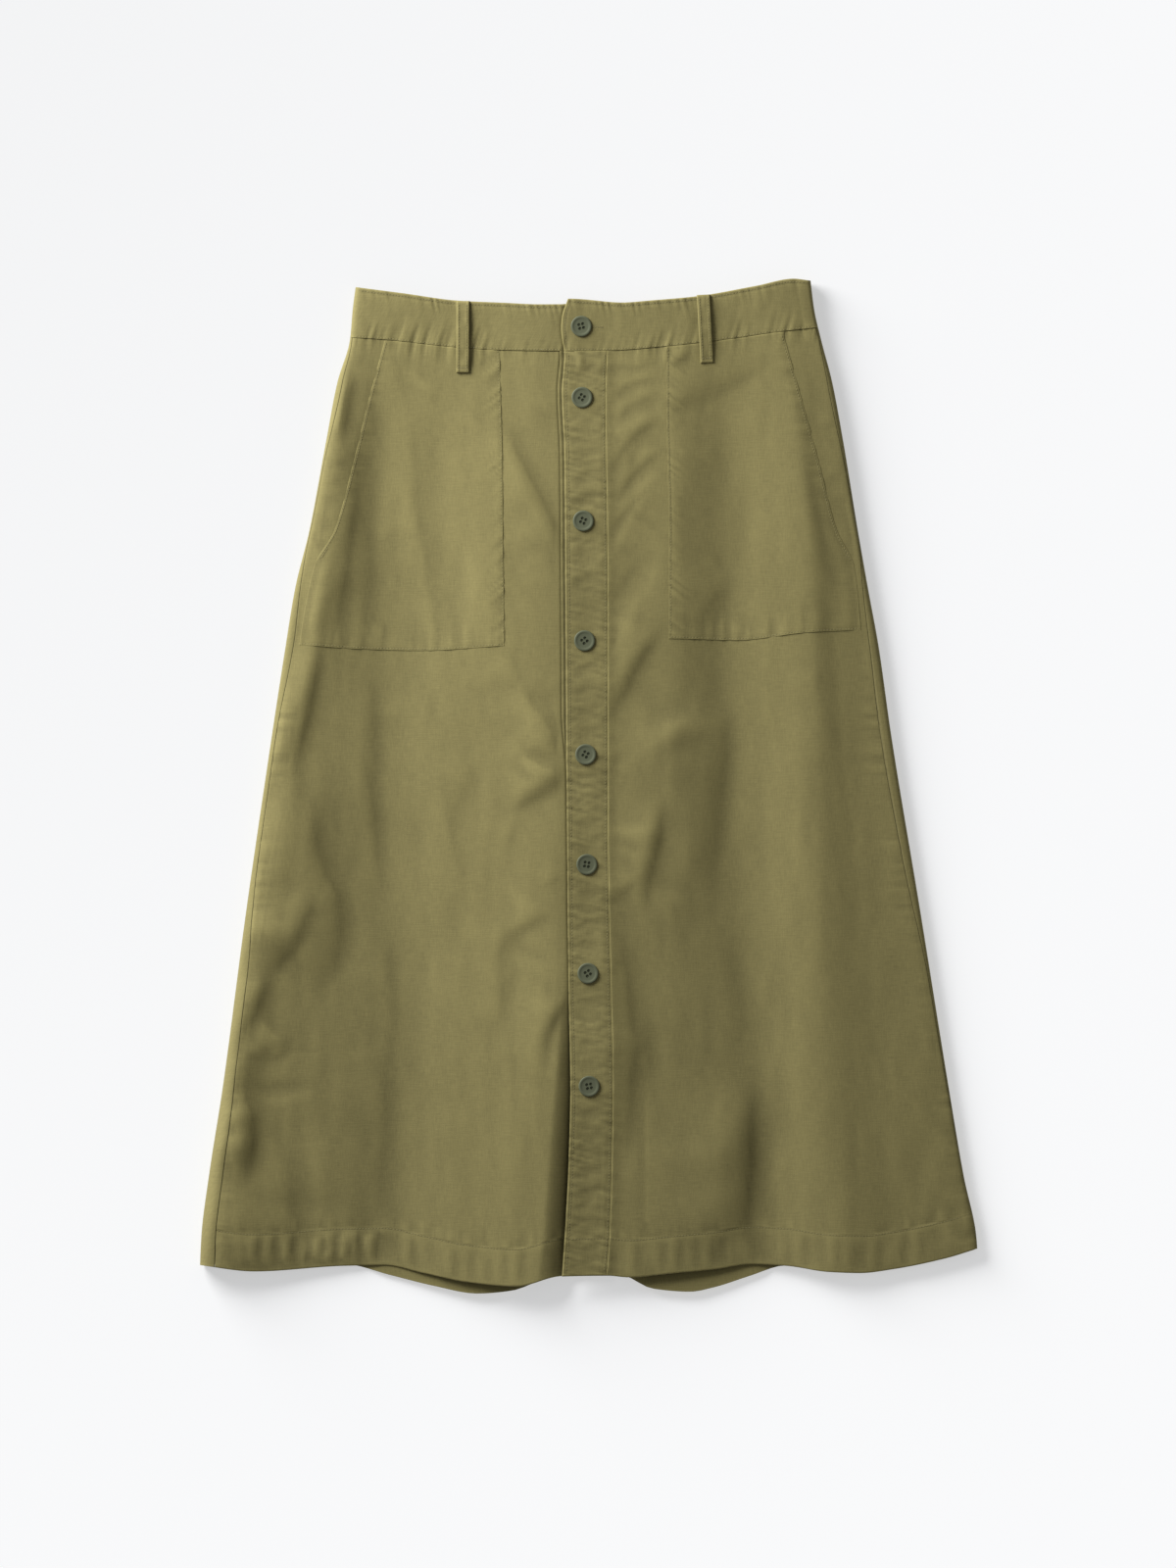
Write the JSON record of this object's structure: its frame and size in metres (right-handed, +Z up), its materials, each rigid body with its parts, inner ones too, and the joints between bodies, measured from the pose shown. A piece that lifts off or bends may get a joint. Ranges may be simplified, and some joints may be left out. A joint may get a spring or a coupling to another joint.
{
  "type": "utility skirt",
  "caption": "Knee-length A-line utility skirt in cotton twill, buttoned down the front, with patch pockets and belt loops, laid flat on its back.",
  "frame": {"origin": "on the surface the skirt lies on, below the middle of its outline", "axes": "+X to the right of the laid skirt, which is the wearer's left; +Y towards the waist; +Z up from the surface"},
  "size_m": [0.6064, 0.7916, 0.0198],
  "materials": {
    "twill": "matte cotton twill, garment-washed, with puckered topstitched seams",
    "button": "satin, turned four-hole button"
  },
  "bodies": {
    "root": {"back_panel": "twill", "front_panel_right": "twill", "front_panel_left": "twill", "placket": "twill", "pocket_right": "twill", "pocket_left": "twill", "waistband": "twill", "belt_loop_front_right": "twill", "belt_loop_front_left": "twill", "belt_loop_back_right": "twill", "belt_loop_back_centre": "twill", "belt_loop_back_left": "twill", "button_1": "button", "button_2": "button", "button_3": "button", "button_4": "button", "button_5": "button", "button_6": "button", "button_7": "button", "button_8": "button"}
  },
  "joints": []
}
